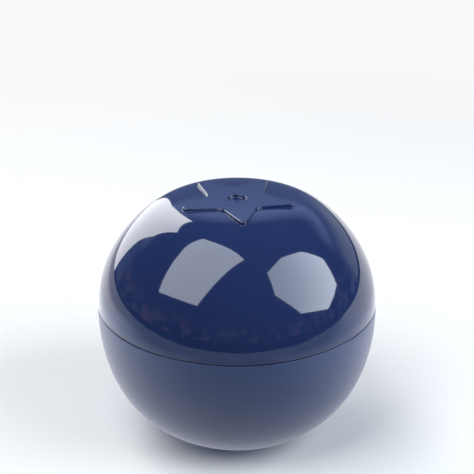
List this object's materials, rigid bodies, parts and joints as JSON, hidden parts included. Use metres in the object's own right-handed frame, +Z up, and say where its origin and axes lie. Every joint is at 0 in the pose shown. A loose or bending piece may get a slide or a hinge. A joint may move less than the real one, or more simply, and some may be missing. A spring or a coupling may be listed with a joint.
{
  "type": "twist-lock berry-shaped container",
  "caption": "Round berry-shaped plastic container: satin bowl with a lugged collar, and a glossy domed lid with a raised calyx star that twists to lock and lifts off.",
  "frame": {"origin": "centre of the face it stands on", "axes": "+Z up through the star on the lid; the front, with one tip of the star, faces -Y"},
  "size_m": [0.108, 0.108, 0.0952],
  "materials": {
    "bowl_satin": "navy moulded plastic, fine satin texture",
    "bowl_gloss": "the same navy plastic, polished",
    "lid_gloss": "navy moulded plastic, mirror polished",
    "seal_rubber": "soft grey-blue sealing rubber"
  },
  "bodies": {
    "bowl": {"bowl_shell": "bowl_satin", "foot_ring": "bowl_satin", "rim_collar": "bowl_gloss", "collar_lug_1": "bowl_gloss", "collar_lug_2": "bowl_gloss", "collar_lug_3": "bowl_gloss", "collar_lug_4": "bowl_gloss"},
    "seal": {"seal_ring": "seal_rubber"},
    "lid": {"lid_rim": "lid_gloss", "lid_dome": "lid_gloss", "lid_lug_1": "lid_gloss", "lid_lug_2": "lid_gloss", "lid_lug_3": "lid_gloss", "lid_lug_4": "lid_gloss", "calyx_star": "lid_gloss", "stem_scar": "lid_gloss"}
  },
  "joints": [
    {"name": "lid_lift", "type": "slide", "parent": "bowl", "child": "seal", "axis": [0, 0, 1], "range_m": [0, 0.06]},
    {"name": "lid_twist", "type": "hinge", "parent": "seal", "child": "lid", "pos_m": [0, 0, 0.0535], "axis": [0, 0, 1], "range_deg": [-30, 0]}
  ]
}
